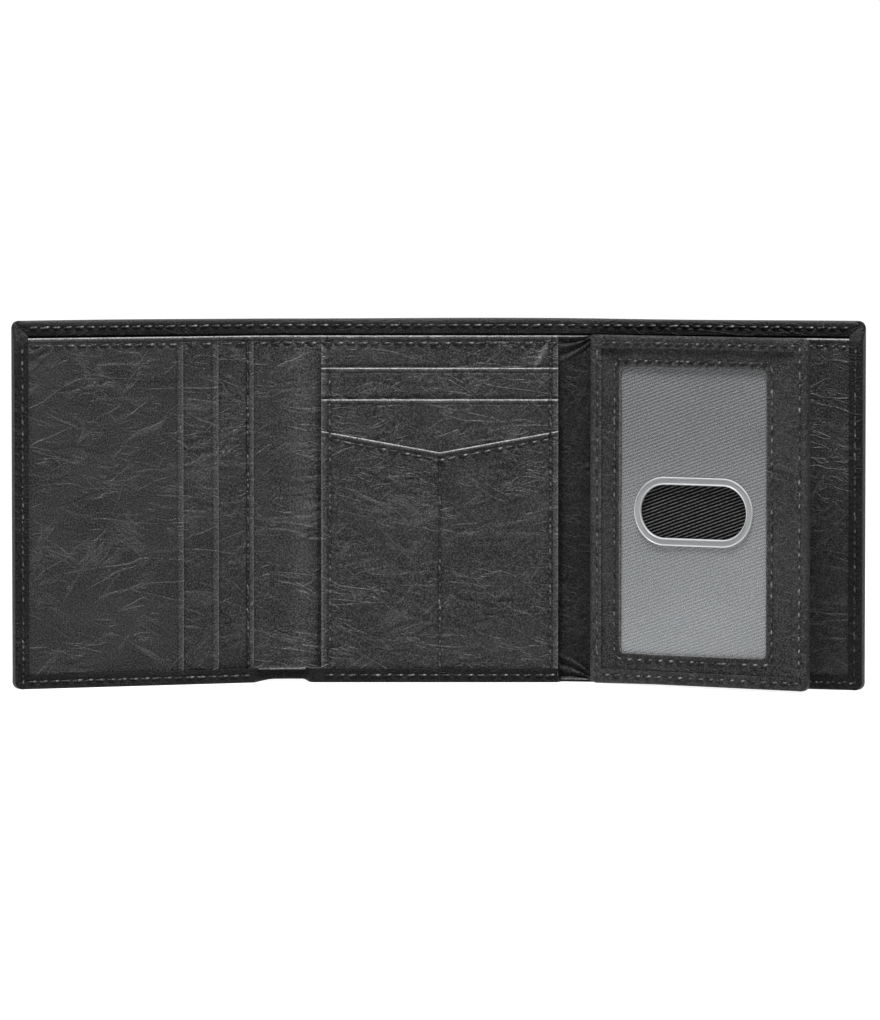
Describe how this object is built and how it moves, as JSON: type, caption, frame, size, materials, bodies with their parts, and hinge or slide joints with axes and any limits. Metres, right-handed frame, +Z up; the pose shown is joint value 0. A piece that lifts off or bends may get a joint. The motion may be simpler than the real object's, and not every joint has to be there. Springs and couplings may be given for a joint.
{
  "type": "trifold wallet",
  "caption": "Black leather trifold wallet standing open, with card slots, a banknote pocket and a turning card window flap with a thumb notch.",
  "frame": {"origin": "centre of the standing wallet's footprint, on the surface it stands on", "axes": "+Z up along the panels, +X along the open wallet towards the card window flap, -Y out of the card slots"},
  "size_m": [0.236, 0.0436, 0.102],
  "materials": {
    "shell_leather": "crinkled semi-matt black leather",
    "pocket_leather": "crinkled semi-matt black leather with polished cut edges",
    "bill_lining_fabric": "plain woven black lining",
    "black_twill": "black twill with a fine diagonal rib",
    "clear_film": "satin clear plastic film",
    "black_thread": "black sewing thread"
  },
  "bodies": {
    "centre": {"centre_shell": "shell_leather", "centre_top_hem": "shell_leather", "centre_bill_lining": "bill_lining_fabric", "centre_inner_panel": "pocket_leather", "upper_card_pocket": "pocket_leather", "middle_card_pocket": "pocket_leather", "v_card_pocket": "pocket_leather", "centre_bottom_hem": "shell_leather", "centre_top_stitching": "black_thread", "centre_panel_stitching": "black_thread", "pocket_stitching": "black_thread", "centre_bottom_stitching": "black_thread"},
    "left_fold": {"left_fold_shell": "shell_leather", "left_fold_top_hem": "shell_leather", "left_fold_bottom_hem": "shell_leather", "left_fold_bill_lining": "bill_lining_fabric", "left_fold_leather": "pocket_leather", "left_fold_stitching": "black_thread"},
    "left_panel": {"left_shell": "shell_leather", "left_top_hem": "shell_leather", "left_bill_lining": "bill_lining_fabric", "left_inner_panel": "pocket_leather", "left_middle_pocket": "pocket_leather", "left_front_pocket": "pocket_leather", "left_side_hem": "shell_leather", "left_bottom_hem": "shell_leather", "left_top_stitching": "black_thread", "left_panel_stitching": "black_thread", "left_edge_stitching": "black_thread"},
    "right_fold": {"right_fold_shell": "shell_leather", "right_fold_top_hem": "shell_leather", "right_fold_bottom_hem": "shell_leather", "right_fold_bill_lining": "bill_lining_fabric", "right_fold_leather": "pocket_leather", "right_fold_stitching": "black_thread"},
    "right_panel": {"right_shell": "shell_leather", "right_top_hem": "shell_leather", "right_bill_lining": "bill_lining_fabric", "right_inner_panel": "pocket_leather", "right_middle_pocket": "pocket_leather", "right_front_pocket": "pocket_leather", "right_side_hem": "shell_leather", "right_bottom_hem": "shell_leather", "flap_hinge_strip": "pocket_leather", "right_top_stitching": "black_thread", "right_panel_stitching": "black_thread", "right_edge_stitching": "black_thread"},
    "id_flap": {"flap_back": "pocket_leather", "window_twill": "black_twill", "window_film": "clear_film", "notch_rim": "clear_film", "flap_frame": "pocket_leather", "flap_top_hem": "shell_leather", "flap_bottom_hem": "shell_leather", "flap_side_hem": "shell_leather", "flap_edge_stitching": "black_thread", "window_stitching": "black_thread"}
  },
  "joints": [
    {"name": "left_inner_crease", "type": "hinge", "parent": "centre", "child": "left_fold", "pos_m": [-0.04267, 0.01677, 0.05], "axis": [0, 0, 1], "range_deg": [-10, 80]},
    {"name": "left_outer_crease", "type": "hinge", "parent": "left_fold", "child": "left_panel", "pos_m": [-0.05055, 0.01538, 0.05], "axis": [0, 0, 1], "range_deg": [-10, 80]},
    {"name": "right_inner_crease", "type": "hinge", "parent": "centre", "child": "right_fold", "pos_m": [0.03433, 0.01997, 0.05], "axis": [0, 0, -1], "range_deg": [-10, 80]},
    {"name": "right_outer_crease", "type": "hinge", "parent": "right_fold", "child": "right_panel", "pos_m": [0.04319, 0.01841, 0.05], "axis": [0, 0, -1], "range_deg": [-10, 80]},
    {"name": "flap_turn", "type": "hinge", "parent": "right_panel", "child": "id_flap", "pos_m": [0.04285, 0.01454, 0.05], "axis": [0, 0, 1], "range_deg": [-140, 11]}
  ]
}
